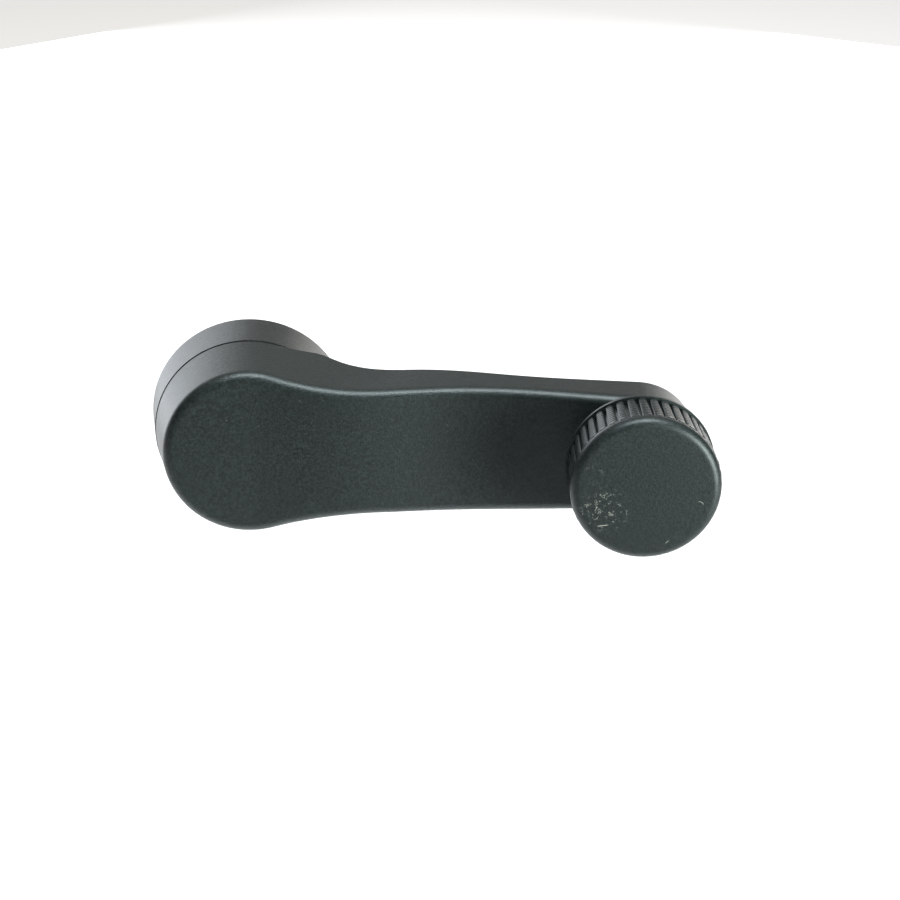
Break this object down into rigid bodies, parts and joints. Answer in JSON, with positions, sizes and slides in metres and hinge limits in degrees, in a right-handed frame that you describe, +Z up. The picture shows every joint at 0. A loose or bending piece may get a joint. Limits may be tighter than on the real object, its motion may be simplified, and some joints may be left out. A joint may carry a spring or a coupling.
{
  "type": "window winder crank",
  "caption": "Crank handle that winds a vehicle side window: round hub with a serrated shaft socket, sliding release ring, waisted arm and ribbed turning knob.",
  "frame": {"origin": "centre of the shaft socket's mouth, in the plane of the release ring's door side", "axes": "+X along the arm from hub to knob, -Y out of the door towards the user, +Y into the door along the regulator shaft, +Z up across the arm"},
  "size_m": [0.1278, 0.053, 0.0456],
  "materials": {
    "arm_plastic": "fine-grained satin black",
    "ring_plastic": "fine-grained satin black",
    "knob_plastic": "satin black with fine grain and light wear",
    "carrier_plastic": "glass-filled nylon, dull black",
    "steel": "zinc-plated, turned",
    "spring_steel": "oiled, dark",
    "bearing_plastic": "natural acetal"
  },
  "bodies": {
    "crank": {"arm_cover": "arm_plastic", "arm_carrier": "carrier_plastic", "spline_bush": "steel", "knob_spindle": "steel", "backing_washer": "steel", "thrust_washer": "bearing_plastic", "spring_washer": "spring_steel", "clip_washer": "steel", "spindle_clip": "spring_steel"},
    "ring": {"release_ring": "ring_plastic", "lock_fork": "spring_steel"},
    "knob": {"knob_core": "knob_plastic", "knob_bearing": "bearing_plastic", "knob_cap": "knob_plastic"}
  },
  "joints": [
    {"name": "ring_slide", "type": "slide", "parent": "crank", "child": "ring", "axis": [1, 0, 0], "range_m": [0, 0.004]},
    {"name": "knob_spin", "type": "hinge", "parent": "crank", "child": "knob", "pos_m": [0.088, -0.0445, 0], "axis": [0, -1, 0], "continuous": true}
  ]
}
